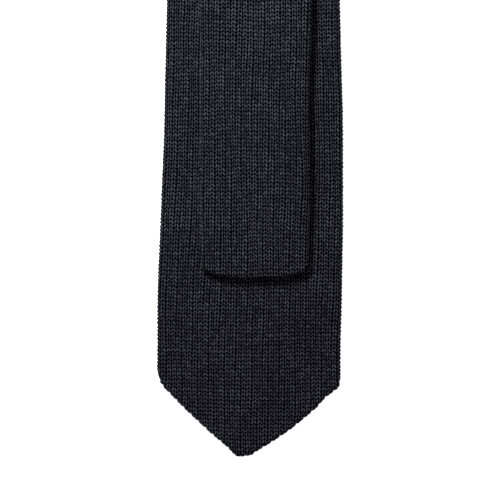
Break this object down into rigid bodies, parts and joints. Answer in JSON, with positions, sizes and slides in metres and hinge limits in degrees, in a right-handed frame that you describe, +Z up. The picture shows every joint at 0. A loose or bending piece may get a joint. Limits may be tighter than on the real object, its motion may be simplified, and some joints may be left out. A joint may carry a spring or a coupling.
{
  "type": "knitted necktie",
  "caption": "Knitted necktie with a pointed wide blade, folded in half at the neck, its square-ended tail lying on the blade through a keeper loop.",
  "frame": {"origin": "middle of the folded tie's outline, on the surface it lies on", "axes": "+Y along the tie from the blade's point to the neck fold, +X to the right seen from above, +Z up through the layers"},
  "size_m": [0.07, 0.76, 0.0087],
  "materials": {
    "knit": "matte stocking-stitch knit, very dark navy",
    "linking_yarn": "matte linked chain of the same yarn",
    "interlining": "brushed off-white cloth",
    "stay_tape": "plain woven tape",
    "sewing_thread": "twisted thread, slight sheen",
    "woven_label": "satin-woven label without lettering",
    "printed_label": "plain white satin ribbon without lettering"
  },
  "bodies": {
    "blade": {"wide_blade": "knit", "blade_interlining": "interlining", "keeper_loop": "knit", "keeper_bar_tacks": "sewing_thread", "maker_label": "woven_label", "maker_label_stitches": "sewing_thread", "care_label": "printed_label", "care_label_stitches": "sewing_thread", "blade_neck_seam": "linking_yarn", "neckband_blade_side": "knit", "stay_tape_blade_side": "stay_tape"},
    "blade_point": {"blade_tip": "knit", "blade_tip_seam": "linking_yarn"},
    "neck_fold": {"centre_back_seam": "linking_yarn", "neckband_tail_side": "knit", "stay_tape_tail_side": "stay_tape"},
    "tail_length": {"neck_tail_seam": "linking_yarn", "tail": "knit", "tail_interlining": "interlining"},
    "loose_end": {"tail_end": "knit", "tail_end_seam": "linking_yarn"}
  },
  "joints": [
    {"name": "tip_lift", "type": "hinge", "parent": "blade", "child": "blade_point", "pos_m": [0, -0.346, 0.0034], "axis": [-1, 0, 0], "range_deg": [0, 90]},
    {"name": "neck_slide", "type": "slide", "parent": "blade", "child": "neck_fold", "axis": [0, 1, 0], "range_m": [-0.015, 0.015], "deforming": ["neckband_blade_side", "stay_tape_blade_side"]},
    {"name": "tail_slide", "type": "slide", "parent": "neck_fold", "child": "tail_length", "axis": [0, 1, 0], "range_m": [-0.015, 0.015], "deforming": ["neckband_tail_side", "stay_tape_tail_side"]},
    {"name": "tail_end_lift", "type": "hinge", "parent": "tail_length", "child": "loose_end", "pos_m": [0.0022, -0.23, 0.0073], "axis": [-1, 0, 0], "range_deg": [0, 135]}
  ],
  "couplings": [
    {"joint": "tail_slide", "follows": "neck_slide", "ratio": 1}
  ]
}
